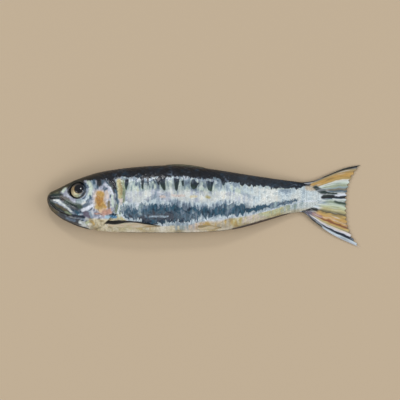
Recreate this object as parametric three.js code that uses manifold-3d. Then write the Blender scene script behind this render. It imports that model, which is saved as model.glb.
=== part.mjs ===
// A whole raw sardine, lying on its right flank with the left flank up.
//
// Millimetres, +Z up. +X runs from the snout to the tail and +Y from the belly to the back. The origin is
// the centre of the footprint, on the surface that the fish lies on.
//
// The fish is shaped in lengths of its own: `s` is the distance behind the tip of the snout, `y` the height
// towards the back above the axis through that tip, and `side` is +1 on the left flank and -1 on the right.
import * as THREE from "three";
import { ParametricGeometry } from "three/addons/geometries/ParametricGeometry.js";
import { mergeVertices } from "three/addons/utils/BufferGeometryUtils.js";
import Module from "manifold-3d";

const wasm = await Module();
wasm.setup();

// ---- Driving dimensions, mm ----
const TOTAL_LENGTH = 190; // snout to the tips of the tail fin
const PEDUNCLE_END = 150; // where the body starts to close inside the tail fin
const SCALY_END = 166; // the last scales, out on the tail fin
const SNOUT_ROUND = 2.6; // length of the rounded tip of the snout
// The eye's centre, radius and half thickness, the depth of its centre, and the ditch round it.
const EYE = { s: 18.6, y: 5.6, radius: 4.9, bulge: 2.7, sunk: 1.4, ditch: 0.6 };
const GILL_COVER = { s: 24, y: -1.5, radius: 17.6, rise: 0.8, fades: [12, 30] }; // a disc of bone
const CHEEK = { s: 16.5, y: -3, radius: 12.6, rise: 0.5, fades: [6, 22] }; // the plate in front of it
const BONE_RIM = 0.65; // half the width of the rounded rim of either
const LEFT = 1;
const RIGHT = -1;

const clamp = THREE.MathUtils.clamp;
const lerp = THREE.MathUtils.lerp;
const step = (value, low, high) => THREE.MathUtils.smoothstep(value, low, high);

// A smooth function through its stations, each [distance behind the snout, value].
function through(stations) {
  const last = stations.length - 1;
  const slopes = stations.map((_, i) => {
    const [from, to] = [stations[Math.max(i - 1, 0)], stations[Math.min(i + 1, last)]];
    return (to[1] - from[1]) / (to[0] - from[0]);
  });
  return (s) => {
    const next = stations.findIndex((station) => station[0] > s);
    const i = next < 0 ? last - 1 : clamp(next - 1, 0, last - 1);
    const [[s0, v0], [s1, v1]] = [stations[i], stations[i + 1]];
    const gap = s1 - s0;
    const t = clamp((s - s0) / gap, 0, 1);
    const near = (1 + 2 * t) * (1 - t) ** 2 * v0 + t * (1 - t) ** 2 * gap * slopes[i];
    const far = t * t * (3 - 2 * t) * v1 + t * t * (t - 1) * gap * slopes[i + 1];
    return near + far;
  };
}

// ---- The body's lines ----
const backLine = through([
  [0, 3.4], [3, 4.6], [8, 6.9], [14, 10], [20, 12.5], [31, 16], [46, 18.5],
  [62, 20], [75, 20.4], [86, 19.8], [100, 18.1], [130, 13.4], [150, 10.7], [166, 9.4],
]);
const bellyLine = through([
  [0, -4], [3, -7.3], [8, -11.4], [13, -14.1], [20, -16.9], [31, -19.2], [46, -20.3],
  [70, -20.6], [93, -20.2], [107, -19.2], [117, -17.1], [138, -11], [150, -8.2], [166, -7.4],
]);
const halfWidth = through([
  [0, 2.4], [8, 4.9], [20, 7.2], [35, 8.9], [50, 9.8], [68, 10],
  [95, 9], [120, 6.6], [138, 4.4], [150, 3], [166, 1.2],
]);
// Height of the fish's own middle plane above the table. The head and the tail sag towards it.
const middle = through([
  [0, 5.6], [10, 7], [25, 8.6], [45, 9.4], [68, 9.6], [95, 8.6],
  [120, 6.2], [138, 4.1], [150, 2.9], [166, 1.9], [178, 1.2], [190, 0.75],
]);

// 1 along the body, rounding off to 0 at the snout and at the last scales.
function ending(s) {
  const snout = 1 - clamp(s / SNOUT_ROUND, 0, 1);
  const tail = clamp((s - PEDUNCLE_END) / (SCALY_END - PEDUNCLE_END), 0, 1);
  return Math.sqrt(Math.max(0, 1 - snout ** 2)) * Math.sqrt(Math.max(0, 1 - tail ** 2));
}

// Middle and half depth of the section at s, back to belly.
function section(s) {
  const [back, belly] = [backLine(s), bellyLine(s)];
  return { centre: (back + belly) / 2, half: ((back - belly) / 2) * ending(s) };
}

// How far a plate of bone stands out of the smooth flank. It fades in behind the snout.
function bone(plate, s, y) {
  const inside = plate.radius - Math.hypot(s - plate.s, y - plate.y);
  return plate.rise * step(inside, -BONE_RIM, BONE_RIM) * step(s, ...plate.fades);
}

// The head's relief: its bones, and a shallow ditch round the eye.
function relief(s, y) {
  const ditch = Math.hypot(s - EYE.s, y - EYE.y) - EYE.radius - EYE.ditch;
  return bone(GILL_COVER, s, y) + bone(CHEEK, s, y) - EYE.ditch * Math.exp(-(ditch ** 2));
}

// Half thickness of the fish at s and at a height given as an angle: -90 degrees is the keel of the belly,
// 90 the ridge of the back. The belly is keeled, and the crown of the head is broader than the jaw.
function halfThickness(s, angle) {
  const height = Math.sin(angle);
  const keel = 1 + 0.4 * Math.max(0, -height);
  const crown = 0.22 * (1 - step(s, 10, 60));
  const { centre, half } = section(s);
  const smooth = halfWidth(s) * ending(s) * Math.cos(angle) ** keel * (1 + crown * height);
  return smooth + relief(s, centre + half * height) * Math.cos(angle) * ending(s);
}

// A point of the skin. The right flank lies flat where it meets the table.
function skin(s, angle, side) {
  const { centre, half } = section(s);
  const z = middle(s) + side * halfThickness(s, angle);
  return new THREE.Vector3(s, centre + half * Math.sin(angle), Math.max(z, 0));
}

// The skin at a height y, moved outwards across the flank.
function onFlank(s, y, side, proud) {
  const { centre, half } = section(s);
  const angle = Math.asin(clamp((y - centre) / half, -1, 1));
  return skin(s, angle, side).add(new THREE.Vector3(0, 0, side * proud));
}

// ---- From surfaces to solids ----

// A closed surface as a manifold-3d solid, with its faces turned out.
function solid(geometry) {
  geometry.deleteAttribute("normal");
  geometry.deleteAttribute("uv");
  const merged = mergeVertices(geometry, 1e-4);
  const corners = merged.index.array;
  const triVerts = [];
  for (let i = 0; i < corners.length; i += 3) {
    const [a, b, c] = corners.slice(i, i + 3);
    if (a !== b && b !== c && a !== c) triVerts.push(a, b, c);
  }
  const make = () =>
    new wasm.Manifold(
      new wasm.Mesh({
        numProp: 3,
        vertProperties: new Float32Array(merged.attributes.position.array),
        triVerts: new Uint32Array(triVerts),
      }),
    );
  const made = make();
  if (made.volume() > 0) return made;
  triVerts.reverse();
  return make();
}

// A solid as a named mesh.
function piece(name, made, material) {
  const { vertProperties, triVerts } = made.getMesh();
  const geometry = new THREE.BufferGeometry();
  geometry.setAttribute("position", new THREE.BufferAttribute(vertProperties, 3));
  geometry.setIndex(new THREE.BufferAttribute(triVerts, 1));
  geometry.computeVertexNormals();
  const mesh = new THREE.Mesh(geometry, material);
  mesh.name = name;
  return mesh;
}

// A thin plate: both faces over (across, along), each 0 to 1, meeting at the edges. `point` gives a point of
// the upper face for +1 and of the lower face for -1, and the same point for both at every edge.
function plate(point, acrossSteps, alongSteps) {
  const fold = (u, v, target) => {
    const face = u < 0.5 ? 1 : -1;
    const across = u < 0.5 ? 2 * u : 2 - 2 * u;
    target.copy(point(across, v, face));
  };
  return solid(new ParametricGeometry(fold, 2 * acrossSteps, alongSteps));
}

// Thickness of a plate with its rays as ridges, from 0 at the edges up to 1 on a ray.
function rayed(across, along, rays) {
  const edge = Math.min(1, 12 * Math.min(across, 1 - across, along, 1 - along)) ** 0.5;
  return edge * (0.6 + 0.4 * Math.abs(Math.cos(Math.PI * rays * across)));
}

// ---- The trunk and head ----
const HEAD_STEPS = 32;
const TRUNK_STEPS = 22;
const TAIL_STEPS = 7;
const GIRTH_STEPS = 56; // all the way round
const HEAD_END = 46;

// Stations along the body: close on the head, wider on the trunk, closer again where it ends.
function station(v) {
  const i = v * (HEAD_STEPS + TRUNK_STEPS + TAIL_STEPS);
  if (i <= HEAD_STEPS) return HEAD_END * (i / HEAD_STEPS) ** 1.25;
  if (i <= HEAD_STEPS + TRUNK_STEPS) {
    return lerp(HEAD_END, PEDUNCLE_END, (i - HEAD_STEPS) / TRUNK_STEPS);
  }
  const end = (i - HEAD_STEPS - TRUNK_STEPS) / TAIL_STEPS;
  return lerp(PEDUNCLE_END, SCALY_END, Math.sin((end * Math.PI) / 2));
}

function trunk() {
  const wrap = (u, v, target) => {
    const side = u < 0.5 ? LEFT : RIGHT;
    const turn = u < 0.5 ? 2 * u : 2 - 2 * u;
    target.copy(skin(station(v), (turn - 0.5) * Math.PI, side));
  };
  return solid(new ParametricGeometry(wrap, GIRTH_STEPS, HEAD_STEPS + TRUNK_STEPS + TAIL_STEPS));
}

// A V-shaped cut along a line on one flank, `path(t)` giving [s, y] for t from 0 to 1.
function groove({ path, width, depth, steps }, side) {
  const corners = [[-0.5, 1], [0.5, 1], [0, -depth]];
  const sweep = (u, v, target) => {
    const t = clamp(v * (steps + 2) - 1, 0, steps) / steps;
    const [s, y] = path(t);
    const [ahead, behind] = [path(Math.min(t + 0.01, 1)), path(Math.max(t - 0.01, 0))];
    const run = new THREE.Vector2(ahead[0] - behind[0], ahead[1] - behind[1]).normalize();
    const closing = v === 0 || v === 1 ? 0 : 1;
    const [across, up] = corners[Math.round(u * 3) % 3];
    const shift = across * width * closing;
    target.copy(onFlank(s - run.y * shift, y + run.x * shift, side, lerp(0.2, up, closing)));
  };
  return solid(new ParametricGeometry(sweep, 3, steps + 2));
}

// The gill opening follows the rear edge of the gill cover.
const gillOpening = (t) => {
  const angle = lerp(-1.2, 0.75, t);
  const radius = GILL_COVER.radius + 0.3;
  return [GILL_COVER.s + radius * Math.cos(angle), GILL_COVER.y + radius * Math.sin(angle)];
};

// The closed mouth runs back and down from the snout, and the upper jaw's plate lies over it.
const mouthLine = through([[0, -0.6], [3, -3.9], [8, -7.6], [14.5, -10.4], [21.5, -11.4]]);
const jawLine = through([[0, 0.4], [8.5, 0.3], [11, -1.4], [19, -6.2], [21.5, -9.4]]);
const along = (line, from, to) => (t) => [lerp(from, to, t), line(lerp(from, to, t))];
const GROOVES = [
  { path: gillOpening, width: 0.9, depth: 1.1, steps: 20 },
  { path: along(mouthLine, 1.2, 21), width: 0.8, depth: 0.9, steps: 12 },
  { path: along(jawLine, 1.5, 20.5), width: 0.8, depth: 0.6, steps: 12 },
];

// ---- The fins ----

// The tail fin: rays fan out from the peduncle between its two leading edges, as far as a shallow fork.
const TAIL_FIN = { root: 150, fork: 8.6, fray: 0.5, rays: 19, thickness: 1.1 };
const upperEdge = through([[150, 10], [157, 10.3], [162.5, 11.3], [170, 14.6], [181, 18.9], [190, 20.6]]);
const lowerEdge = through([[150, -7.6], [155.5, -8.4], [161.5, -13.6], [172.5, -21.3], [190, -29.6]]);

function tailFin() {
  const { root, fork, fray, rays, thickness } = TAIL_FIN;
  const point = (across, r, face) => {
    const outer = lerp(root, TOTAL_LENGTH, r);
    const notch = fork * (1 - Math.abs(2 * across - 1) ** 2.8);
    const ragged = fray * (1 - Math.cos(2 * Math.PI * rays * across));
    const s = outer - r * (notch + ragged);
    const y = lerp(upperEdge(outer), lowerEdge(outer), across);
    const half = (thickness / 2) * rayed(across, r, rays) * lerp(1, 0.7, r);
    return new THREE.Vector3(s, y, middle(s) + face * half);
  };
  return plate(point, 2 * rays, 8);
}

// A fin folded flat against a flank, from its root to a pointed tip. Its edges are sunk in the skin.
const EDGE_DEPTH = 0.9;
function foldedFin({ root, tip, width, rays, proud }, side) {
  const run = new THREE.Vector2(tip[0] - root[0], tip[1] - root[1]);
  const unit = run.clone().normalize();
  const point = (across, r, face) => {
    const wide = width * Math.sin(Math.PI * Math.min(0.97, 0.16 + 0.84 * r ** 0.9)) ** 0.8;
    const shift = (0.5 - across) * wide;
    const [s, y] = [root[0] + run.x * r - unit.y * shift, root[1] + run.y * r + unit.x * shift];
    const swell = rayed(across, r, face > 0 ? rays : 0);
    return onFlank(s, y, side, lerp(-EDGE_DEPTH, face > 0 ? proud : -2 * EDGE_DEPTH, swell));
  };
  return plate(point, 2 * rays, 9);
}

const PECTORAL = { root: [35, -14.6], tip: [69, -16.4], width: 4.6, rays: 5, proud: 0.55 };
const PELVIC = { root: [91, -17], tip: [106, -17.4], width: 3, rays: 3, proud: 0.4 };

// A fin folded down on the ridge of the back or the keel of the belly: a low blade with its root inside.
const ROOT_DEPTH = 1.6;
function ridgeFin({ from, to, line, rise, thickness }, up) {
  const point = (across, r, face) => {
    const s = lerp(from, to, r);
    const crest = rise * Math.sin(Math.PI * Math.min(1, 0.1 + 0.9 * r)) ** 0.6;
    const y = line(s) + up * lerp(-ROOT_DEPTH, crest, across);
    const half = (thickness / 2) * rayed(across, r, 0) * lerp(1, 0.6, across);
    return new THREE.Vector3(s, y, middle(s) + face * half);
  };
  return plate(point, 4, 14);
}

const DORSAL = { from: 72, to: 96, line: backLine, rise: 0.8, thickness: 1.8 };
const ANAL = { from: 112, to: 147, line: bellyLine, rise: 0.7, thickness: 1.4 };

// ---- The eyes ----

// The middle of the eye and the way that it faces, square to the cheek around it.
function eyeSeat(side) {
  const reach = EYE.radius;
  const at = (ds, dy) => onFlank(EYE.s + ds, EYE.y + dy, side, 0);
  const [ahead, behind] = [at(-reach, 0), at(reach, 0)];
  const [above, below] = [at(0, reach), at(0, -reach)];
  const facing = behind.clone().sub(ahead).cross(above.clone().sub(below)).normalize();
  if (side === RIGHT) facing.negate();
  const centre = ahead.add(behind).add(above).add(below).multiplyScalar(0.25);
  return { centre: centre.addScaledVector(facing, -EYE.sunk), facing };
}

// A lens-shaped ball, grown by `extra` all round.
function eyeball(side, extra) {
  const { centre, facing } = eyeSeat(side);
  const ball = new THREE.SphereGeometry(1, 22, 10);
  ball.rotateX(Math.PI / 2);
  ball.scale(EYE.radius + extra, EYE.radius + extra, EYE.bulge + extra);
  const turn = new THREE.Quaternion().setFromUnitVectors(new THREE.Vector3(0, 0, 1), facing);
  ball.applyQuaternion(turn);
  ball.translate(centre.x, centre.y, centre.z);
  return solid(ball);
}

const SOCKET_GAP = 0.3;
const SMOOTHING = 0.025; // how far a face may move where neighbours are merged

// ---- Assembly ----
const silverSkin = new THREE.MeshStandardMaterial({ color: 0x8d9aa0, roughness: 0.35, metalness: 0.3 });
const eyeMaterial = new THREE.MeshStandardMaterial({ color: 0x2a2c26, roughness: 0.1, metalness: 0 });

function fishBody() {
  let body = trunk().add(tailFin());
  body = body.add(ridgeFin(DORSAL, 1)).add(ridgeFin(ANAL, -1));
  for (const side of [LEFT, RIGHT]) {
    body = body.add(foldedFin(PECTORAL, side)).add(foldedFin(PELVIC, side));
    for (const cut of GROOVES) body = body.subtract(groove(cut, side));
    body = body.subtract(eyeball(side, SOCKET_GAP));
  }
  return body.simplify(SMOOTHING);
}

const fish = new THREE.Group();
fish.add(piece("fish", fishBody(), silverSkin));
fish.add(piece("eye_left", eyeball(LEFT, 0), eyeMaterial));
fish.add(piece("eye_right", eyeball(RIGHT, 0), eyeMaterial));

// The footprint's centre goes to the origin. The table is already at z = 0.
const footprint = new THREE.Box3().setFromObject(fish).getCenter(new THREE.Vector3());
fish.position.set(-footprint.x, -footprint.y, 0);

export default fish;
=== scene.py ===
import bmesh
import bpy
import numpy as np
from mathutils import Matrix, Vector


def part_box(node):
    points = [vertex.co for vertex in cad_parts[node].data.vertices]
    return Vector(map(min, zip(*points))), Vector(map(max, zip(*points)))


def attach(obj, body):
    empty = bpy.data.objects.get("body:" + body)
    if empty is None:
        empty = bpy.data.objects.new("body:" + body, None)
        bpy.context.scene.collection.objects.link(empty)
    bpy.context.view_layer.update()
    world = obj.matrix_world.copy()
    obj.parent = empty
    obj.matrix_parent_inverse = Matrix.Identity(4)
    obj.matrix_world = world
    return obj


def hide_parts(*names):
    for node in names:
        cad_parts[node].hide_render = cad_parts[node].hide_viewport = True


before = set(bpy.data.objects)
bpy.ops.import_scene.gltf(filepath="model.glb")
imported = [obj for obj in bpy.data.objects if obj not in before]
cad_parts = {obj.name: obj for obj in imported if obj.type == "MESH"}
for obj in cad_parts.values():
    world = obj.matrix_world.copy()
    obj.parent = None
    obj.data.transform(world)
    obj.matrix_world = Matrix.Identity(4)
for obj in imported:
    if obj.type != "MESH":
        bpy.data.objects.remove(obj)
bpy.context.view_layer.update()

# ---- Body ----
# Trunk and head are one spindle of muscle and bone in a thin wet skin, keeled along the belly. A raw fish is
# limp, so the head and tail droop to the table, and the lower flank settles flat on it.
BODY_DEPTH, SNOUT_ROUND = 41, 2.6
KEEL_PINCH, CROWN_SWELL = 0.4, 0.22
PEDUNCLE_END, SCALY_END = 150, 166  # where the trunk ends, and the last scales on the tail fin
TAIL_TIP_Y = -29.6  # the lower tip of the tail fin, the fish's lowest y


def ease(value, low, high):
    """0 below `low`, 1 above `high`, and an S-shaped cubic between them."""
    t = np.clip((value - low) / (high - low), 0, 1)
    return t * t * (3 - 2 * t)


def through(stations):
    """A smooth line through {place: value} stations: a cubic between each two, whose slope at a station is
    that of the straight line between the stations beside it."""
    at, value = np.array(list(stations.items()), float).T
    after, before = np.append(np.arange(1, len(at)), len(at) - 1), np.append(0, np.arange(len(at) - 1))
    slope = (value[after] - value[before]) / (at[after] - at[before])

    def line(place):
        i = np.clip(np.searchsorted(at, place, side="right") - 1, 0, len(at) - 2)
        gap = at[i + 1] - at[i]
        t = np.clip((place - at[i]) / gap, 0, 1)
        near = (1 + 2 * t) * (1 - t) ** 2 * value[i] + t * (1 - t) ** 2 * gap * slope[i]
        return near + t * t * (3 - 2 * t) * value[i + 1] + t * t * (t - 1) * gap * slope[i + 1]

    return line


back_line = through({
    0: 3.4, 3: 4.6, 8: 6.9, 14: 10, 20: 12.5, 31: 16, 46: 18.5,
    62: 20, 75: 20.4, 86: 19.8, 100: 18.1, 130: 13.4, 150: 10.7, 166: 9.4,
})
belly_line = through({
    0: -4, 3: -7.3, 8: -11.4, 13: -14.1, 20: -16.9, 31: -19.2, 46: -20.3,
    70: -20.6, 93: -20.2, 107: -19.2, 117: -17.1, 138: -11, 150: -8.2, 166: -7.4,
})
half_width = through({
    0: 2.4, 8: 4.9, 20: 7.2, 35: 8.9, 50: 9.8, 68: 10,
    95: 9, 120: 6.6, 138: 4.4, 150: 3, 166: 1.2,
})
middle = through({
    0: 5.6, 10: 7, 25: 8.6, 45: 9.4, 68: 9.6, 95: 8.6,
    120: 6.2, 138: 4.1, 150: 2.9, 166: 1.9, 178: 1.2, 190: 0.75,
})


def ending(s):
    """1 along the body. At the snout and at the last scales it falls to 0 along a quarter of an ellipse."""
    snout = 1 - np.clip(s / SNOUT_ROUND, 0, 1)
    tail = np.clip((s - PEDUNCLE_END) / (SCALY_END - PEDUNCLE_END), 0, 1)
    return np.sqrt(1 - snout**2) * np.sqrt(1 - tail**2)


def height(s, angle):
    """y of the skin: the middle of back and belly plus half their distance times the sine of the angle."""
    back, belly = back_line(s), belly_line(s)
    return (back + belly) / 2 + (back - belly) / 2 * ending(s) * np.sin(angle)


EYE_AT = (18.6, 5.6)
EYE_RADIUS, EYE_BULGE, EYE_SUNK, EYE_DITCH = 4.9, 2.7, 1.4, 0.6
COVER_AT, COVER_RADIUS, COVER_PROUD = (24, -1.5), 17.6, 0.8
CHEEK_AT, CHEEK_RADIUS, CHEEK_PROUD = (16.5, -3), 12.6, 0.5
BONE_RIM = 0.65


def apart(s, y, point):
    """Distance of each place from a point of the head."""
    return np.hypot(s - point[0], y - point[1])


def bones(s, y):
    """How far gill cover and cheek stand out: each a disc with a rounded rim, less a ditch round the eye."""
    cover = COVER_RADIUS - apart(s, y, COVER_AT)
    cheek = CHEEK_RADIUS - apart(s, y, CHEEK_AT)
    ditch = apart(s, y, EYE_AT) - EYE_RADIUS - EYE_DITCH
    return (
        COVER_PROUD * ease(cover, -BONE_RIM, BONE_RIM) * ease(s, 12, 30)
        + CHEEK_PROUD * ease(cheek, -BONE_RIM, BONE_RIM) * ease(s, 6, 22)
        - EYE_DITCH * np.exp(-(ditch**2))
    )


def skin(s, angle, side):
    """A point of the flank: half the fish's thickness to the side of its middle, which falls off with the
    cosine of the angle, faster on the keeled belly, plus the bones. What is under the table is on it."""
    up = np.sin(angle)
    keeled = np.clip(np.cos(angle), 0, 1) ** (1 + KEEL_PINCH * np.maximum(0, -up))
    crown = 1 + CROWN_SWELL * (1 - ease(s, 10, 60)) * up
    y = height(s, angle)
    half = (half_width(s) * keeled * crown + bones(s, y) * np.cos(angle)) * ending(s)
    return np.stack([s + 0 * angle, y, np.maximum(middle(s) + side * half, 0)], axis=-1)


def on_flank(s, y, side, proud):
    """The skin at a height y, moved outwards across the flank by `proud`."""
    back, belly = back_line(s), belly_line(s)
    lift = (y - (back + belly) / 2) / np.maximum((back - belly) / 2 * ending(s), 1e-6)
    point = skin(s, np.arcsin(np.clip(lift, -1, 1)), side)
    point[..., 2] += side * proud
    return point


def eye_seat(side):
    """Middle of an eye and the way that it faces: square to the four points of the skin around it."""
    reach = EYE_RADIUS * np.array([(-1, 0), (1, 0), (0, 1), (0, -1)])
    ahead, behind, above, below = on_flank(EYE_AT[0] + reach[:, 0], EYE_AT[1] + reach[:, 1], side, 0)
    facing = side * np.cross(behind - ahead, above - below)
    facing /= np.linalg.norm(facing)
    return (ahead + behind + above + below) / 4 - EYE_SUNK * facing, facing


mouth_line = through({0: -0.6, 3: -3.9, 8: -7.6, 14.5: -10.4, 21.5: -11.4})
jaw_line = through({0: 0.4, 8.5: 0.3, 11: -1.4, 19: -6.2, 21.5: -9.4})


def ridge(distance, width):
    """A rounded ridge along a line: 1 on it, falling off as a bell over its width."""
    return np.exp(-((distance / width) ** 2))


def from_line(line, s, y):
    """Distance from a line of the head: the height above it times the cosine of its slope."""
    slope = (line(s + 0.2) - line(s - 0.2)) / 0.4
    return (y - line(s)) / np.sqrt(1 + slope**2)


NOSTRIL_AT, RIBS_FROM, FOLDS_ROUND = (7.6, 4.4), (27.5, 6.5), (26, 6)
CREASE_ROUND, CREASE_RADIUS = (22, 10), 22.6


def head_relief(s, y):
    """Fine relief of the head: the opening behind the gill cover, mouth and jaw plate, the lid round the eye,
    the ribs that fan down over the cover, its crease, the folds under it, and the nostril."""
    round_cover, turn = apart(s, y, COVER_AT), np.arctan2(y - COVER_AT[1], s - COVER_AT[0])
    opening = ease(turn, -1.5, -1.2) * ease(turn, 0.95, 0.75)
    relief = -1.0 * ridge(round_cover - COVER_RADIUS - 0.35, 0.42) * opening
    relief += 0.3 * ridge(round_cover - COVER_RADIUS - 1.3, 0.6) * opening
    relief += 0.14 * ridge(round_cover - COVER_RADIUS + 1.5, 0.5) * opening
    jaws = ease(s, 0.6, 1.6) * ease(s, 21.6, 20)
    relief -= 0.85 * ridge(from_line(mouth_line, s, y), 0.34) * jaws
    relief -= 0.5 * ridge(from_line(jaw_line, s, y), 0.34) * jaws
    plate = (y - mouth_line(s)) / np.maximum(jaw_line(s) - mouth_line(s), 0.5)
    relief += 0.3 * np.sqrt(np.clip(4 * plate * (1 - plate), 0, 1)) * jaws
    relief += 0.34 * ridge(apart(s, y, EYE_AT) - EYE_RADIUS - 0.5, 0.3)
    fan = np.arctan2(y - RIBS_FROM[1], s - RIBS_FROM[0])
    ribbed = ease(round_cover, COVER_RADIUS - 0.8, COVER_RADIUS - 2.5) * ease(s, 28.4, 30.2)
    relief += 0.13 * np.cos(26 * fan) * ribbed * ease(fan, -0.5, -0.8) * ease(y, -12, -9)
    crease = apart(s, y, CREASE_ROUND) - CREASE_RADIUS
    relief -= 0.28 * ridge(crease, 0.3) * ease(s, 22, 25) * ease(s, 37, 34)
    folds = apart(s, y, FOLDS_ROUND)
    folded = ease(folds, 19.6, 20.8) * ease(folds, 26, 24) * ease(s, 14, 19)
    relief += 0.12 * np.cos(2.6 * folds) * folded
    relief -= 0.5 * ridge(apart(s, y, NOSTRIL_AT), 0.42)
    return relief * ease(s, 0.3, 2)


SCALE_LENGTH, SCALE_THICK = 2.9, 0.13  # what shows of a scale where the body is deepest
SCALE_ROWS = 16  # from back to belly
SCALE_REACH, SCALE_SPREAD = 1.5, 0.58  # half length and half width of a scale, in steps of the lattice


def scales(s, y, angle, side):
    """Overlapping scales on a lattice whose every second column is shifted by half a row. A point shows the
    foremost scale that covers it. Returns how far back the point lies on that scale, from 0 where it comes
    out from under its neighbour to 1 at its free edge, a chance number of the scale, and where scales are."""
    along = np.linspace(0, SCALY_END, 800)
    pitch = SCALE_LENGTH * ((back_line(along) - belly_line(along)) / BODY_DEPTH) ** 0.6
    u = np.interp(s, along, np.cumsum(1 / pitch) * (along[1] - along[0]))
    v = SCALE_ROWS * (angle + 0.16 * np.sin(2 * angle)) / np.pi
    rise, column, row = np.zeros_like(u), np.zeros_like(u), np.zeros_like(u)
    settled = np.zeros(u.shape, bool)
    for back in (1, 0, -1):
        k = np.floor(u) - back
        shift = 0.5 * np.mod(k, 2)
        centre = np.round(v - shift) + shift
        reach = SCALE_REACH * np.sqrt(np.clip(1 - ((v - centre) / SCALE_SPREAD) ** 2, 0.05, 1))
        here = ~settled & ((u - k <= reach) | (back == -1))
        rise = np.where(here, (u - k) / reach, rise)
        column, row = np.where(here, k, column), np.where(here, centre, row)
        settled |= here
    chance = np.mod(np.sin(column * 12.9898 + row * 78.233 + side * 37.7) * 43758.5453, 1)
    behind = apart(s, y, COVER_AT) - COVER_RADIUS
    scaly = ease(behind, 0.9, 1.8) * (s > COVER_AT[0]) * ease(s, SCALY_END, SCALY_END - 3)
    return np.clip(rise, 0, 1), chance, scaly


def linear(*colours):
    """Colours as they are seen, each part 0 to 255, turned into linear light."""
    return ((np.array(colours) / 255 + 0.055) / 1.055) ** 2.4


# The skin's pigments, from black through green and blue to silver, and the warm ones.
INK, SOOT, COAL, GRAPHITE = linear((12, 17, 27), (28, 29, 28), (34, 40, 48), (60, 66, 74))
BROWN, DARK_OLIVE, UMBER, OLIVE = linear((46, 34, 26), (46, 48, 34), (84, 78, 60), (100, 102, 80))
BOTTLE, MOSS, SAGE, FERN = linear((26, 46, 44), (50, 68, 58), (118, 132, 108), (152, 162, 134))
LICHEN, MINT, SEA_GREY = linear((184, 192, 160), (192, 206, 194), (138, 158, 164))
NAVY, STORM, TEAL, SLATE = linear((16, 34, 54), (30, 58, 78), (38, 78, 98), (60, 88, 108))
STEEL, BLUE_GREY, BLUE, ICE = linear((96, 112, 130), (136, 154, 170), (80, 134, 172), (188, 204, 212))
PALE_BLUE, MAUVE, LAVENDER, LILAC = linear((150, 182, 200), (104, 98, 116), (160, 164, 182), (188, 194, 208))
SILVER, FROST, PEARL = linear((200, 208, 208), (214, 220, 232), (214, 219, 217))
IVORY, CREAM, STRAW, OCHRE = linear((218, 214, 200), (206, 198, 170), (190, 182, 136), (186, 158, 98))
TAN, TAUPE, AMBER, ORANGE = linear((160, 144, 108), (128, 118, 96), (186, 149, 84), (168, 123, 62))
RUST, PEACH, SHELL, PARCHMENT = linear((138, 86, 54), (212, 182, 150), (210, 198, 192), (194, 182, 162))
PINK, ROSE, PLUM = linear((184, 142, 126), (160, 126, 118), (66, 52, 58))


def ramp(value, stations):
    """The colour at a value from {value: colour} stations, mixed in proportion between neighbours."""
    colours = np.array(list(stations.values()))
    return np.stack([np.interp(value, list(stations), colours[:, i]) for i in range(3)], axis=-1)


def laid(under, cover, over):
    """A colour with a share `cover` of another laid over it."""
    return under + np.asarray(cover)[..., None] * (over - under)


def cloud(s, y, size, seed, repeat=97):
    """A smooth field of chance from -1 to 1: chance heights on a square lattice `size` mm apart, joined along
    both directions by S-shaped cubics. It starts again after `repeat` steps."""
    heights = np.random.default_rng(seed).uniform(-1, 1, (repeat, repeat))
    i, j = np.floor(s / size).astype(int), np.floor(y / size).astype(int)
    a, b = ease(s / size - i, 0, 1), ease(y / size - j, 0, 1)
    corners = [heights[(i + di) % repeat, (j + dj) % repeat] for di in (0, 1) for dj in (0, 1)]
    here, above, behind, beyond = corners
    return (here * (1 - b) + above * b) * (1 - a) + (behind * (1 - b) + beyond * b) * a


def arc(centre, radius, start, stop):
    """Points of an arc round a centre, from one angle to another in degrees: 0 is tailward, 90 is up."""
    turn = np.radians(np.linspace(start, stop, 9))
    return list(zip(centre[0] + radius * np.cos(turn), centre[1] + radius * np.sin(turn)))


def along_line(line, start, stop, offset=0):
    """Points of a line of the fish from one place behind the snout to another, moved up by `offset`."""
    places = np.linspace(start, stop, 9)
    return list(zip(places, line(places) + offset))


def from_stroke(s, y, points):
    """Distance from a line of straight stretches, the least of the distances from each stretch; one point
    alone is a dot."""
    near = np.full(s.shape, 1e9)
    for (s0, y0), (s1, y1) in zip(points, points[1:] or points):
        run = np.array([s1 - s0, y1 - y0], float)
        t = np.clip(((s - s0) * run[0] + (y - y0) * run[1]) / max(run @ run, 1e-9), 0, 1)
        near = np.minimum(near, np.hypot(s - s0 - t * run[0], y - y0 - t * run[1]))
    return near


def marked(tint, s, y, markings):
    """Lays markings over a colour, each (colour, half width, points of its line), which fade out across their
    edge. Fields of chance push the edges about by up to half a millimetre."""
    s = s + 0.35 * cloud(s, y, 2.3, 3) + 0.2 * cloud(s, y, 0.9, 4)
    y = y + 0.35 * cloud(s, y, 2.1, 5) + 0.2 * cloud(s, y, 0.8, 6)
    for colour, wide, *points in markings.values():
        tint = laid(tint, 1 - ease(from_stroke(s, y, points) / wide, 0.5, 1.5), colour)
    return tint


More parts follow.
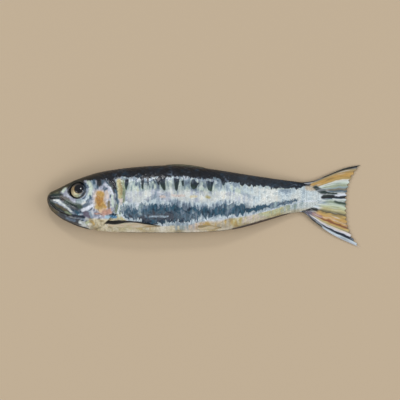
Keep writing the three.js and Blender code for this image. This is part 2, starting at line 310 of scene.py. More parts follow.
# Markings of head, gill opening, shoulder and chest, then the single ones of the side, from what lies deepest
# to what lies over it: colour, half width, and the points of the line.
SKIN_MARKS = dict(
    forehead=(OLIVE, 2.3, (0, 1.5), (8, 5), (15, 9), (24, 13)),
    snout_ridge=(DARK_OLIVE, 0.7, (3, 3.6), (8, 5.8), (13, 8.6), (18, 11)),
    before_eye=(LAVENDER, 1.9, (10.2, 3), (12, 4.4), (13.4, 2.6)),
    before_eye_glint=(MINT, 0.8, (11.2, 6.4), (10, 4.6)),
    before_eye_pale=(LILAC, 0.8, (12.8, 4.6), (13.3, 1.4)),
    cheek=(STEEL, 2.4, (15, -2.4), (21, -4.4), (24, -4)),
    cheek_pale=(ICE, 1, (21, -2), (24, -1.6), (25.5, 1)),
    cheek_under_eye=(LAVENDER, 1.3, *arc(EYE_AT, 7.2, 232, 256)),
    cheek_green=(SEA_GREY, 1, *arc(EYE_AT, 7, 272, 292)),
    cheek_fold_1=(STEEL, 0.5, *arc(EYE_AT, 10.2, 280, 300)),
    cheek_fold_2=(STEEL, 0.5, *arc(EYE_AT, 9.3, 302, 316)),
    cheek_glint=(PEARL, 0.7, *arc(EYE_AT, 9, 290, 300)),
    cheek_sweep=(FROST, 1, *arc(EYE_AT, 12.9, 284, 314)),
    lips=(BOTTLE, 1.7, (2, 0.6), (4, 1.6), (8.8, 1.9)),
    snout_tip=(INK, 2.1, (0.6, 0.8), (3.2, -0.4)),
    jaw_tip=(DARK_OLIVE, 1.2, (0.8, -2.4), (2.6, -5.8)),
    behind_lips=(INK, 1, (8.6, 1.4), (10.4, 0)),
    nostril=(INK, 0.6, NOSTRIL_AT),
    jaw_hinge=(BROWN, 1.7, (9.6, 0.4), (12.8, -0.9)),
    jaw_shade=(MOSS, 1.7, (12.4, -2), (16, -3.4), (20.4, -4.6)),
    jaw_shade_core=(BOTTLE, 0.8, (13, -2.8), (18, -4.6)),
    jaw_shade_deep=(GRAPHITE, 0.9, (15, -4.9), (18.6, -6.3)),
    jaw_plate_dark=(BOTTLE, 1.4, (2.6, -1.8), (6, -4.4), (10, -6.4), (13, -8.4)),
    jaw_plate_olive=(UMBER, 0.9, (6, -3), (9, -5.2), (12.4, -7.2)),
    jaw_plate_green=(SAGE, 0.7, (11.6, -8), (15.6, -9.7)),
    jaw_plate_glint=(SILVER, 0.52, (4.4, -0.4), (7.4, -0.9), (10, -3), (13, -5.6), (15.4, -7.6)),
    lower_jaw=(UMBER, 1.2, *along_line(mouth_line, 3, 9, -1.9)),
    lower_jaw_dark=(GRAPHITE, 2.1, *along_line(mouth_line, 8, 19, -2.8)),
    lower_jaw_grey=(STEEL, 0.65, *along_line(mouth_line, 12, 17, -2)),
    throat=(SILVER, 1, (20.2, -13.8), (23.4, -15.2)),
    mouth=(SOOT, 0.65, *along_line(mouth_line, 1, 16)),
    mouth_corner=(NAVY, 0.95, *along_line(mouth_line, 16, 22.5, 0.6)),
    mouth_teal=(TEAL, 0.8, (18.2, -7.2), (19.2, -9)),
    mouth_glint=(PALE_BLUE, 0.5, (19.8, -9.4)),
    under_cheek=(MAUVE, 1.5, (23.6, -9), (26.4, -10.2)),
    under_cheek_pale=(BLUE_GREY, 0.8, (26.4, -8.4), (27.6, -11)),
    # The lid's dark edge over and before the eye, partly painted shade of the socket.
    lid=(INK, 1.2, *arc(EYE_AT, 5.3, 52, 150)),
    lid_front=(INK, 0.9, *arc(EYE_AT, 5.3, 150, 215)),
    above_lid=(LAVENDER, 0.8, (22.6, 11.4), (24.4, 10.4)),
    nape=(TEAL, 0.9, (23, 12.9), (25.6, 12.2)),
    eye_bone=(MINT, 1.2, *arc(EYE_AT, 8.3, -22, 34)),
    eye_bone_gap=(STEEL, 0.5, *arc(EYE_AT, 6.7, 10, 25)),
    second_bone=(BLUE_GREY, 1, *arc(EYE_AT, 10.6, 8, 32)),
    second_bone_warm=(SHELL, 0.8, *arc(EYE_AT, 12, -22, -8)),
    cheek_pore=(SLATE, 0.5, (26.6, 2.2), (26.7, 0.4)),
    nape_wedge=(INK, 1.5, (31.2, 13.8), (31.8, 9)),
    nape_side=(SLATE, 0.8, (28.2, 12.2), (28.8, 9.4)),
    cover_top_pale=(LILAC, 0.8, (35.6, 8.4), (38.6, 6.4)),
    cover_halo=(SHELL, 3.4, (32, 2), (33, -5)),
    cover_amber_top=(AMBER, 1.7, (31.8, 3.2), (33.8, 2.4)),
    cover_amber=(AMBER, 2.5, (32, -0.8), (32.8, -2.8)),
    cover_amber_low=(OCHRE, 1.8, (31.2, -5), (33, -5.6)),
    cover_orange=(ORANGE, 1.3, (31.4, 0.6), (32.4, -3.6)),
    cover_orange_side=(ORANGE, 0.7, (33.6, 0.4), (33.2, -3)),
    cover_ochre=(OCHRE, 1.2, (32.4, -6.4), (34, -7.8)),
    cover_amber_side=(AMBER, 0.9, (33.8, -3.2), (35.6, -4.8)),
    cover_oval=(SHELL, 1, (36.4, 4.4), (36.8, 0.6)),
    cover_shadow=(TAUPE, 0.9, (37.8, -1.8), (37.4, -4.4)),
    cover_peach=(PEACH, 1.2, (33, -7.4), (35, -6.4)),
    cover_pink=(PINK, 1.6, (35, -8.5), (38.2, -7.2)),
    cover_low=(LAVENDER, 0.9, *arc(COVER_AT, 16.4, -18, -8)),
    cover_rim=(MINT, 0.7, *arc(COVER_AT, 16.2, -10, 14)),
    cover_rim_top=(FROST, 0.6, *arc(COVER_AT, 16.9, 14, 30)),
    # Painted shade: the black lines along the gill opening stand for the shade under the rim of the gill
    # cover.
    gill_slit_top=(INK, 1.3, (39.4, 12.4), (40.9, 9.2)),
    gill_slit=(INK, 1.2, *arc(COVER_AT, 19.2, 18, 41)),
    gill_slit_low=(SLATE, 0.75, *arc(COVER_AT, 19.1, -12, 20)),
    gill_slit_green=(SAGE, 0.7, *arc(COVER_AT, 18.8, -20, -6)),
    shoulder_straw=(STRAW, 1.3, (43.6, 11), (44.6, 5), (45, 1)),
    shoulder_green=(FERN, 1.1, (46, 10.6), (46.6, 4), (46.2, -1)),
    shoulder_shade=(SAGE, 0.7, (46.4, 6), (46.8, 1), (46.4, -2)),
    freckles=(TAN, 0.5, (44.6, 9.6), (45.2, 5.6), (45.2, 3)),
    shoulder_pale=(SHELL, 0.8, (45, -0.6), (45.2, -2.8)),
    shoulder_low=(MINT, 0.9, (45, -5), (44, -10)),
    gill_pale_blue=(PALE_BLUE, 1, (36.4, -10.8), (38.4, -10.8)),
    gill_blue=(BLUE, 1.2, (39.4, -10.3), (41.4, -10.7)),
    gill_dark_blue=(STORM, 0.6, (38.4, -9.5), (41.6, -9.3)),
    under_cover=(ROSE, 0.5, (29.4, -8.8), (33.4, -9.4)),
    chest_green=(LICHEN, 0.9, (23.8, -14.4), (26, -13.6)),
    chest_tan=(TAN, 1.1, (26.6, -12.8), (28.4, -15.2)),
    chest_ochre=(OCHRE, 0.6, (27.4, -13.8), (28.8, -15)),
    side_straw=(STRAW, 0.9, (96.6, 1), (98.2, 0.8)),
    side_shell_front=(SHELL, 0.8, (69.2, 1.6), (71.2, 1.4)),
    side_shell=(SHELL, 0.7, (76, 2.2), (83, 2)),
    side_cream=(CREAM, 0.8, (87, 1.4), (90.4, 1.8)),
    row_grey=(BLUE_GREY, 1.1, (59.2, 11.4), (64.4, 11.6)),
    row_dark=(SLATE, 0.45, (59, 10.8), (60.6, 10.2)),
    row_dark_behind=(STORM, 0.5, (64.6, 11.8), (65.4, 9.6)),
    # Painted shadow: a dark line along the upper edge of the folded pectoral fin, where it shades the flank.
    painted_fin_shadow=(GRAPHITE, 0.5, (43, -13.4), (56, -14.3), (67, -14.9)),
)

# Lower edge of the dark back, and the upper and lower edge of the dark band along the side.
back_edge = through({
    0: 2.6, 10: 6.4, 20: 9.6, 30: 12, 38: 11.6, 47: 13.1, 62: 12.8, 78: 13.5, 88: 12.7,
    96: 12.3, 103: 11.6, 110: 10, 117: 8.7, 125: 8.1, 134: 6.9, 141: 6.5, 153: 7, 160: 10.2,
})
band_top = through({
    44: -3, 48: -3.8, 53: -5.8, 58: -4.6, 64: -2.2, 68: -2.8, 72: -4.4, 77.5: -1.8,
    82: -4.4, 86.5: -3.6, 91: -5, 98: -4.6, 105: -2.9, 110: -2.6, 117: -3.4, 125: -4.4,
    132: -3.2, 140: -1.7, 147: -0.3, 153: 0.2,
})
band_low = through({
    44: -8, 50: -12.2, 60: -14.4, 71: -14.9, 78: -13.9, 86: -13.5, 92: -12.2, 97: -10.6,
    101: -10.3, 106: -10.8, 111: -10, 117: -9.3, 125: -7.8, 129: -6.8, 133: -6.3, 140: -5,
    147: -3, 153: -1.2,
})

# Each dark spot of the row along the shoulder: s at its top, y of its lower and upper end, half width at the
# top, and how far behind the top its lower end hangs.
SPOTS = [
    (48.6, 5.2, 12.2, 1.3, -0.4), (57.6, 5.8, 14, 1.0, 0.6), (61, 7.4, 12.6, 0.9, 0.5),
    (66.8, 8, 13, 1.4, 0.8), (69.6, 5.2, 13.2, 2.2, 1.6), (78.6, 5, 11.5, 1.7, 0), (82, 7.4, 10.8, 0.7, 0.4),
    (89.6, 5.8, 11, 2.7, -1.2), (98.4, 4.2, 11, 2.3, 0.4), (106.2, 9, 12, 1.4, 0.6),
]


def spots(s, y):
    """Depth inside the nearest spot in mm. Each hangs like a blunt thorn: its half width grows with the 0.4th
    power of the height above its lower end, its middle leans, and its top is frayed."""
    inside, frayed = np.full(s.shape, -9.0), 0.9 * cloud(s, 0 * y, 0.9, 34)
    for at, low, high, wide, lean in SPOTS:
        part = np.clip((y - low) / (high - low), 0, 1)
        off = np.abs(s - at - lean * (1 - part))
        depth = np.minimum.reduce([wide * part**0.4 - off, high + frayed - y, y - low + 0.3])
        inside = np.maximum(inside, depth)
    return inside


# The grid's rings lie closest over the gill opening, and bunch up at the snout and at the last scales.
snout_rings = SNOUT_ROUND * (1 - np.cos(np.linspace(0, np.pi / 2, 11)))
trunk_rings = [
    np.linspace(start, stop, count)[1:]
    for start, stop, count in ((SNOUT_ROUND, 30, 98), (30, 44, 80), (44, PEDUNCLE_END, 222))
]
last_rings = PEDUNCLE_END + (SCALY_END - PEDUNCLE_END) * np.sin(np.linspace(0, np.pi / 2, 27)[1:])
rings = np.concatenate([snout_rings, *trunk_rings, last_rings])
left_flank = np.linspace(np.pi / 2, -np.pi / 2, 141)[:-1]
right_flank = np.linspace(-np.pi / 2, np.pi / 2, 83)[:-1]
S, ANGLE = np.meshgrid(rings, np.concatenate([left_flank, right_flank]), indexing="ij")
SIDE = np.where(np.arange(ANGLE.shape[1]) < len(left_flank), 1.0, -1.0) + 0 * S
Y = height(S, ANGLE)

body = skin(S, ANGLE, SIDE)
outward = np.cross(np.roll(body, -1, axis=1) - np.roll(body, 1, axis=1), np.gradient(body, axis=0))
outward /= np.maximum(np.linalg.norm(outward, axis=-1, keepdims=True), 1e-9)
rise, chance, scaly = scales(S, Y, ANGLE, SIDE)
# Along the keel the scales give way to scutes, a row of stiff plates that overlap like roof tiles.
SCUTE_LENGTH, SCUTE_THICK = 2.5, 0.22
keel = ease(Y - belly_line(S), 2.0, 0.4) * ease(S, 26, 32) * ease(S, 122, 116)
scutes = SCUTE_THICK * keel * (np.mod(S, SCUTE_LENGTH) / SCUTE_LENGTH - 1)
body += outward * (scaly * (1 - keel) * SCALE_THICK * (rise - 1.08) + scutes + head_relief(S, Y))[..., None]

# Each eye lies in a bowl, a hair wider and deeper than the ball. Nothing is lower than the table.
SOCKET_GAP = 0.2
for side in (1, -1):
    seat, facing = eye_seat(side)
    from_seat = body - seat
    outside = from_seat @ facing
    across = from_seat - outside[..., None] * facing
    part = np.linalg.norm(across, axis=-1) / (EYE_RADIUS + SOCKET_GAP)
    floor = -(EYE_BULGE + SOCKET_GAP) * np.sqrt(np.clip(1 - part**2, 0, 1))
    in_socket = (part < 1) & (outside > 0)
    body = np.where(in_socket[..., None], seat + across + floor[..., None] * facing, body)
body[..., 2] = np.maximum(body[..., 2], 0)

# The flank's hue changes from scale to scale, drifts over a few scales, and runs in short upright streaks.
by_scale = (chance - 0.5) * scaly
drift, streak = cloud(S, Y, 5, 11), cloud(S, Y / 3.5, 1.2, 12)
fine_streak = cloud(S, Y / 5, 0.7, 20)
tone = 0.4 * by_scale + 0.35 * drift + 0.3 * streak + 0.3 * fine_streak
other_tone = 0.35 * by_scale - 0.4 * cloud(S, Y, 6, 13) + 0.2 * streak + 0.25 * fine_streak
low_flank = ramp(tone, {-0.5: STEEL, -0.3: BLUE_GREY, -0.05: ICE, 0.25: SILVER, 0.55: FROST})
mid_tone = other_tone - 0.12 - 0.25 * ridge(S - 55, 8) - 0.2 * ridge(S - 104, 12)
mid_flank = ramp(mid_tone, {
    -0.6: BLUE_GREY, -0.35: LILAC, -0.1: SILVER, 0.2: PEARL, 0.5: IVORY, 0.8: SHELL,
})
high_flank = ramp(tone - 0.12, {
    -0.5: STEEL, -0.3: SEA_GREY, 0: MINT, 0.25: SILVER, 0.45: LICHEN, 0.7: IVORY,
})
under_back = ramp(tone - 0.2 * ridge(S - 64, 7) - 0.3 * ridge(S - 94, 8), {
    -0.5: SLATE, -0.3: BLUE_GREY, 0: LILAC, 0.25: ICE, 0.6: SEA_GREY,
})
rear_flank = ramp(tone - 0.22 - 0.5 * ridge(S - 107.5, 5) + 0.15 * ridge(S - 124, 8), {
    -0.6: BLUE_GREY, -0.3: ICE, 0: MINT, 0.4: SILVER, 0.7: PEARL,
})
high_flank = laid(high_flank, ease(S, 99, 106), rear_flank)
share = np.clip((Y - band_top(S)) / np.maximum(back_edge(S) - band_top(S), 1), 0, 1)
tint = laid(low_flank, ease(share, 0.08, 0.26), mid_flank)
tint = laid(tint, ease(share, 0.48, 0.62), high_flank)
tint = laid(tint, ease(share, 0.84, 0.93) * ease(S, 112, 100), under_back)
rear_tone = other_tone * (1 - 0.5 * ease(S, 140, 152)) - 0.5 * ridge(S - 145, 7) * ease(Y, 1.5, 4)
rear_tone += 0.25 * ridge(S - 123, 8)
rear_pale = ramp(rear_tone, {-0.6: BLUE_GREY, -0.25: ICE, 0.1: SILVER, 0.4: PEARL, 0.8: IVORY})
tint = laid(tint, ease(S, 116, 128) * ease(share, 1.05, 0.85), rear_pale)
near_spot = ease(spots(S, Y + 0.8 * streak) + 0.6 * drift, -2.4, -0.2)
tint = laid(tint, 0.7 * near_spot, ramp(fine_streak, {-0.5: STEEL, 0.3: SEA_GREY, 0.8: MINT}))

# Under the band a pale fringe, then the belly, whose hue changes along it. A dark line is painted on its keel
# as the shade where the belly turns under, broader at the root of the anal fin.
BELLY = {
    24: CREAM, 48: STRAW, 56: OCHRE, 62: CREAM, 70: IVORY, 76: CREAM, 82: SEA_GREY, 88: SHELL,
    93: OCHRE, 105: OCHRE, 109: TAN, 113: OCHRE, 116: STRAW, 120: CREAM, 125: SHELL,
    131: LICHEN, 137: STRAW, 142: FERN, 149: SEA_GREY, 154: SILVER,
}
below = band_low(np.maximum(S, 44)) - Y
fringe = ramp(tone, {-0.4: BLUE_GREY, -0.1: ICE, 0.3: FROST})
belly = ramp(S + 4 * cloud(S, Y, 6, 15) + 5 * streak + 4 * fine_streak, BELLY)
belly = laid(belly, 0.35 * ease(streak + drift, 0.1, 0.9), PEARL)
under_belly = ramp(drift, {-0.6: TAN, 0: CREAM, 0.6: IVORY})
belly = laid(belly, 0.7 * ease(Y - belly_line(S), 3, 0.8), under_belly)
past_fringe = (below + 0.9 * drift) * (1 + ease(S, 120, 138) - 0.6 * ridge(S - 101, 8))
belly = laid(fringe, ease(past_fringe, 0.9, 2.2), belly)
tint = laid(tint, ease(below, -0.6, 0.2), belly)
anal_root = ease(S, 110, 114) * ease(S, 136, 128)
# Painted shade: a dark line along the keel where the belly turns under, wider at the root of the anal fin.
keel_shade_line = ease(Y - belly_line(S) - 0.35 * anal_root, 0.5, 0.2) * ease(S, 22, 30) * ease(S, 151, 144)
keel_shade_tint = ramp(drift, {-0.6: GRAPHITE, 0: PLUM, 0.7: UMBER})
tint = laid(tint, keel_shade_line * (0.85 + 0.15 * streak), keel_shade_tint)

# The ground of the head: arcs round the eye on the cheek, a fan over the gill cover, and speckles on both.
# Over it come the pale chest, the dark crown, the markings, a dark contour of painted shade along the edges,
# and the dark rim of the socket, partly painted shade.
speckle = 0.7 * cloud(S, Y, 1.1, 14) + 0.5 * cloud(S, Y, 3, 16)
FAN_FROM = (30.5, 0.5)
fan_s, fan_y = S - FAN_FROM[0], Y - FAN_FROM[1]
fan = cloud(9 * np.arctan2(fan_s, -fan_y), np.hypot(fan_s, fan_y) / 3.2, 1, 18)
eye_s, eye_y = S - EYE_AT[0], Y - EYE_AT[1]
from_eye = np.hypot(eye_s, eye_y)
arcs = cloud(from_eye, 0.3 * from_eye * np.arctan2(eye_s, -eye_y), 0.9, 19)
shade = 0.5 * ridge(from_eye - 7.8, 1.6) * ease(Y, 4, 0) + 0.75 * ease(Y, 3, 9)
cheek_ground = ramp(arcs + 0.8 * speckle - shade - 0.1, {
    -1: STORM, -0.6: STEEL, -0.1: BLUE_GREY, 0.3: LAVENDER, 0.8: SILVER,
})
cover_ground = ramp(fan + 0.6 * speckle - shade - 0.12, {
    -1: SLATE, -0.6: STEEL, -0.2: LAVENDER, 0.3: LILAC, 0.8: PEARL,
})
head_ground = laid(cheek_ground, ease(S, 26, 29), cover_ground)
tint = laid(tint, ease(COVER_RADIUS + 0.6 - apart(S, Y, COVER_AT), 0, 0.6), head_ground)
tint = laid(tint, ease(S, 26, 22), head_ground)
chest = ease(-11.4 - Y + 0.8 * drift, 0, 1.2) * ease(S + 2 * drift, 24, 29) * ease(S, 46, 42)
tint = laid(tint, chest, ramp(speckle + 0.5 * drift, {-0.9: TAN, 0: CREAM, 1: IVORY}))
crown = ease(Y - back_edge(S) + drift + 0.8 * speckle, -2.6, 0.2) * ease(S, 46, 40)
tint = laid(tint, 0.75 * crown, ramp(S, {0: MOSS, 20: STORM, 30: NAVY, 40: STEEL}))
tint = marked(tint, S, Y, SKIN_MARKS)
# These lie on the last scales and on the root of the tail fin alike.
ROOT_MARKS = dict(
    dark=(INK, 1.3, (153, 9), (158.4, 9)),
    pale=(PARCHMENT, 1.5, (157.6, 6.6), (161.8, 6.6)),
    shade=(BOTTLE, 1.3, (162.6, 7.2), (164.8, 5.2), (168, 4)),
)
tint = marked(tint, S, Y, ROOT_MARKS)
tint = tint * (1 + 0.22 * cloud(S, Y, 0.9, 17) * ease(S, 42, 38))[..., None]
# Painted shade: a dark contour along the head's upper and lower edges and round the snout tip, where the skin
# turns away from view.
outline = np.minimum(np.minimum(back_line(S) - Y, Y - belly_line(S)) + 3 * ease(S, 24, 34), 0.5 * S + 0.3)
tint = laid(tint, ease(outline, 1.0, 0.4), SOOT)
# A dark ring round the socket, fainter behind the eye: the lid's dark edge, with painted shade of the socket.
behind_eye = ridge(np.arctan2(eye_y, eye_s) - 0.35, 0.5)
tint = laid(tint, (1 - 0.8 * behind_eye) * ease(from_eye - EYE_RADIUS, 0.95, 0.45), INK)

# The dark back, the spots, and the dark band along the side, which is streaked upright, and slantwise at the
# lower front end.
BACK_ROUND = 12  # radius of the back
dark_back = ramp(S, {0: DARK_OLIVE, 22: SOOT, 40: INK, 98: INK, 118: COAL, 140: COAL, 152: INK})
over_back = BACK_ROUND * SIDE * (np.pi / 2 - ANGLE)
fleck = ease(cloud(S, over_back, 0.9, 26) + 0.6 * drift, 0.4, 1.0) * ease(Y - back_edge(S), 4.5, 0.5)
dark_back = laid(dark_back, 0.6 * fleck * ease(S, 30, 45), STEEL)
sheen = ease(cloud(S, over_back, 2.4, 31) + 0.4 * cloud(S, over_back, 0.9, 32), 0, 1)
dark_back = laid(dark_back, 0.4 * sheen * ease(S, 30, 45), STORM)
spot_tint = ramp(Y + 2 * drift, {5: MOSS, 8: BOTTLE, 11: NAVY, 13.5: INK})
spot_tint = laid(spot_tint, 0.45 * ease(fine_streak + 0.6 * drift, 0.3, 0.9), STEEL)
band_rise = band_top(S) + 0.9 * cloud(S, 0 * S, 2.5, 28) * ease(S, 120, 90)
slant = cloud(S + Y, (S - Y) / 4, 1.1, 33) * ease(S, 76, 56) * ease(Y, -5, -10)
patches = 0.45 * drift * (1 - 0.5 * ease(S, 98, 110))
streaks = (0.35 * streak + 0.3 * fine_streak) * (1 - 0.5 * ease(S, 100, 125))
band_tone = 0.4 * by_scale + patches + streaks + 0.5 * slant
band_tone += 0.32 * ease(Y, -8.5, -5) * (1 - 0.55 * ease(S, 102, 112))
band_tone -= 0.2 * ease(-Y, 7.5, 11.5) * ease(S, 104, 96)
band_tone += 0.35 * ridge(S - 49.5, 4) - 0.2 * ridge(S - 59, 4) + 0.25 * ease(S, 86, 94) - 0.1
band_tone += 0.3 * ease(S, 128, 138) - 0.2 * ease(S, 105, 112) - 0.25 * ease(S, 140, 146)
band_tint = ramp(band_tone, {
    -0.5: NAVY, -0.3: STORM, -0.04: TEAL, 0.14: SLATE, 0.38: STEEL, 0.7: SEA_GREY,
})
band_tint = marked(band_tint, S, Y, dict(glint=(BLUE_GREY, 0.5, (62.5, -10.6), (73.5, -10.6))))


def placed(name, data):
    """An object of the scene that holds the given mesh, lamp or camera."""
    made = bpy.data.objects.new(name, data)
    bpy.context.scene.collection.objects.link(made)
    return made


def surface(name, points, finish, **fields):
    """A closed surface, in metres, from a grid of points in the fish's millimetres. Columns go all the way
    round, so the last is joined to the first. The first and last ring each close on themselves, because
    points that meet are merged. `fields` are the numbers and colours that go with the points."""
    count, around = points.shape[:2]
    ring, column = np.mgrid[0 : count - 1, 0:around]
    here, beside = ring * around + column, ring * around + (column + 1) % around
    faces = np.stack([here, here + around, beside + around, beside], axis=-1).reshape(-1, 4)
    low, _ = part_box("fish")
    places = (points.reshape(-1, 3) - [0, TAIL_TIP_Y, 0]) / 1000 + [low.x, low.y, 0]
    a, b, c, d = (places[faces[:, i]] for i in range(4))
    inside_out = np.sum(a * np.cross(b, c)) + np.sum(a * np.cross(c, d)) < 0
    if inside_out:
        faces = faces[:, ::-1]
    mesh = bpy.data.meshes.new(name)
    mesh.from_pydata(places.tolist(), [], faces.tolist())
    for key, values in fields.items():
        colour = values.ndim == 3
        layer = mesh.attributes.new(key, "FLOAT_COLOR" if colour else "FLOAT", "POINT")
        if colour:
            values = np.concatenate([values, np.ones(values.shape[:2] + (1,))], axis=-1)
        layer.data.foreach_set("color" if colour else "value", values.astype(np.float32).ravel())
    welded = bmesh.new()
    welded.from_mesh(mesh)
    bmesh.ops.remove_doubles(welded, verts=welded.verts, dist=1e-6)
    bmesh.ops.triangulate(welded, faces=welded.faces, quad_method="FIXED")
    welded.to_mesh(mesh)
    welded.free()
    mesh.shade_smooth()
    mesh.materials.append(finish.material)
    return placed(name, mesh)


class Term:
    """A socket of a shader node, with arithmetic: each operator adds the Math node that works it out."""

    def __init__(self, finish, socket):
        self.finish, self.socket = finish, socket

    def __add__(self, other):
        return self.finish.maths("ADD", self, other)

    def __sub__(self, other):
        return self.finish.maths("SUBTRACT", self, other)

    def __rsub__(self, other):
        return self.finish.maths("SUBTRACT", other, self)

    def __mul__(self, other):
        return self.finish.maths("MULTIPLY", self, other)

    __radd__, __rmul__ = __add__, __mul__


class Finish:
    """A material with one Principled shader, built up from nodes."""

    def __init__(self, name):
        self.material = bpy.data.materials.new(name)
        self.material.use_nodes = True
        self.nodes, self.links = self.material.node_tree.nodes, self.material.node_tree.links
        self.shader = self.nodes["Principled BSDF"]

    def set(self, **values):
        """Sets sockets of the shader, written with _ for each space, to numbers, colours or terms."""
        for name, value in values.items():
            self.join(self.shader.inputs[name.replace("_", " ")], value)

    def join(self, socket, value):
        if isinstance(value, Term):
            self.links.new(value.socket, socket)
        elif hasattr(socket.default_value, "__len__") and len(socket.default_value) == 4:
            socket.default_value = (*value, 1)
        else:
            socket.default_value = value

    def node(self, kind, settings=None, sockets=None, out=0):
        """Adds a node of a type, with its settings first and then its sockets' values or links."""
        made = self.nodes.new(kind)
        for key, value in (settings or {}).items():
            setattr(made, key, value)
        for key, value in (sockets or {}).items():
            self.join(made.inputs[key], value)
        return Term(self, made.outputs[out])

    def maths(self, operation, *terms):
        return self.node("ShaderNodeMath", {"operation": operation}, dict(enumerate(terms)))

    def field(self, name):
        """A number that the mesh carries at its points."""
        return self.node("ShaderNodeAttribute", {"attribute_name": name}, out=2)

    def colour(self, name):
        return self.node("ShaderNodeAttribute", {"attribute_name": name})

    def noise(self, per_metre, detail=2, stretch=(1, 1, 1)):
        """Noise of about -0.5 to 0.5 in the object's own space, with so many crests in a metre."""
        place = self.node("ShaderNodeTexCoord", out=3)
        place = self.node("ShaderNodeVectorMath", {"operation": "MULTIPLY"}, {0: place, 1: stretch})
        sockets = {"Vector": place, "Scale": per_metre, "Detail": detail}
        return self.node("ShaderNodeTexNoise", {}, sockets) - 0.5

    def step(self, value, low, high):
        """0 below `low`, 1 above `high`, and an S between them."""
        settings = {"interpolation_type": "SMOOTHSTEP"}
        return self.node("ShaderNodeMapRange", settings, {0: value, 1: low, 2: high})

    def mix(self, share, first, second, how="MIX"):
        """The first colour, with a share of the second laid over it."""
        settings = {"data_type": "RGBA", "blend_type": how}
        return self.node("ShaderNodeMix", settings, {0: share, 6: first, 7: second}, out=2)

    def shaded(self, colour, brightness):
        """A colour made lighter or darker by a number, where 1 leaves it as it is."""
        grey = self.node("ShaderNodeCombineColor", {}, {0: brightness, 1: brightness, 2: brightness})
        return self.mix(1.0, colour, grey, "MULTIPLY")

    def bump(self, rise, depth, strength=1.0):
        """Turns a height into a tilt of the surface; `depth` is the height of 1, in metres."""
        return self.node("ShaderNodeBump", {}, {"Strength": strength, "Distance": depth, "Height": rise})


# The finish of wet skin. Crystals under the scales make the flank silver, pigment makes the back and the
# band under the side dark, and clear mucus covers all of it. Each scale's free edge is painted lighter as a
# highlight, and the skin just under it painted darker as its shade.
GRAIN, BLOTCH, BRUSH, BRUSH_STRETCH = 1500, 260, 1250, (1, 0.22, 0.22)  # crests in a metre
SKIN_RELIEF = 0.00022  # metres
wet = Finish("wet_sardine_skin")
grain, blotch, brushed = wet.noise(GRAIN, 3), wet.noise(BLOTCH, 3), wet.noise(BRUSH, 2, BRUSH_STRETCH)
scale_chance, scale_mask, scale_rise = wet.field("chance") - 0.5, wet.field("scaly"), wet.field("rise")
under_edge_shade = scale_mask * (1 - wet.step(scale_rise, 0.0, 0.3))
free_edge = scale_mask * wet.step(scale_rise, 0.8, 0.97)
# Brightness: random grain and streaks, plus painted light on the scales, a highlight on each free edge and
# shade under it.
brightness = 1 + 0.2 * scale_chance + 0.5 * grain + 0.6 * brushed + 0.14 * free_edge - 0.3 * under_edge_shade
back_edge_noise = 1.1 * scale_chance + 0.8 * wet.field("streak") + 3 * brushed + 1.2 * blotch
back_mask = wet.step(wet.field("back") + back_edge_noise, -0.35, 0.4)
band_edge = 2.6 * scale_chance + 1.6 * wet.field("streak") + 7 * brushed + 1.6 * blotch - 0.9 * free_edge
band_mask = wet.step(wet.field("band") + wet.field("ragged") * band_edge, -0.3, 0.6)
spot_mask = wet.step(wet.field("spot") + 0.9 * blotch + 0.5 * grain, -0.25, 0.2)
lit = wet.shaded(wet.colour("tint"), brightness)
# The band gets the painted shade under each scale too, and a pale painted highlight on some free edges.
slate = wet.shaded(wet.colour("slate"), 1 + 1.8 * brushed + 0.7 * grain - 0.5 * under_edge_shade)
slate = wet.mix(0.4 * free_edge * wet.step(scale_chance, -0.1, 0.4), slate, SEA_GREY)
dark = wet.shaded(wet.colour("dark"), 1 + 1.2 * grain + 1.4 * blotch + 0.5 * scale_chance)
colour = wet.mix(band_mask, lit, slate)
spotted = wet.shaded(wet.colour("spotted"), 1 + 2.4 * brushed + 1.5 * grain + 0.5 * scale_chance)
colour = wet.mix(0.985 * spot_mask, colour, spotted)
colour = wet.mix(back_mask, colour, dark)
silver = (1 - back_mask) * (1 - 0.7 * band_mask) * (1 - spot_mask)
wet.set(
    Base_Color=colour,
    Roughness=0.36 + 0.14 * blotch - 0.08 * silver,
    Metallic=0.12 * silver * scale_mask,
    Specular_IOR_Level=0.2,
    Coat_Weight=0.35 + 0.35 * silver,
    Coat_Roughness=0.16,
    Normal=wet.bump(0.6 * grain + 0.5 * brushed + 0.5 * scale_mask * scale_rise, SKIN_RELIEF),
)
# The points carry colours, and how deep in millimetres they lie inside the back, the band and the spots, from
# which the finish works out their ragged edges.
body_skin = surface(
    "body_skin",
    body,
    wet,
    tint=tint,
    dark=dark_back,
    slate=band_tint,
    spotted=spot_tint,
    back=np.where(S > 159, -3, Y - back_edge(S)),
    band=np.minimum.reduce([band_rise - Y, Y - band_low(S), S - 44.6, 152 - S]),
    spot=spots(S + 0.3 * fine_streak, Y + 0.9 * streak),
    streak=streak,
    ragged=1 - 0.6 * ease(S, 105, 138),
    rise=rise,
    chance=0.5 + (chance - 0.5) * scaly,
    scaly=scaly * (1 - keel),
)
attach(body_skin, "root")
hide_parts("fish")

# ---- Tail fin ----
# A thin web on nineteen bony rays that fan out from the root of the tail to a shallow fork. The fish's own
# scales run out over its root.
TAIL_TIPS, TAIL_RAYS = 190, 19
TAIL_FORK, TAIL_FRAY, TAIL_THICK, TAIL_HEM = 8.6, 0.5, 0.8, 0.02
upper_edge = through({150: 10, 157: 10.3, 162.5: 11.3, 170: 14.6, 181: 18.9, 190: 20.6})
lower_edge = through({150: -7.6, 155.5: -8.4, 161.5: -13.6, 172.5: -21.3, 190: TAIL_TIP_Y})


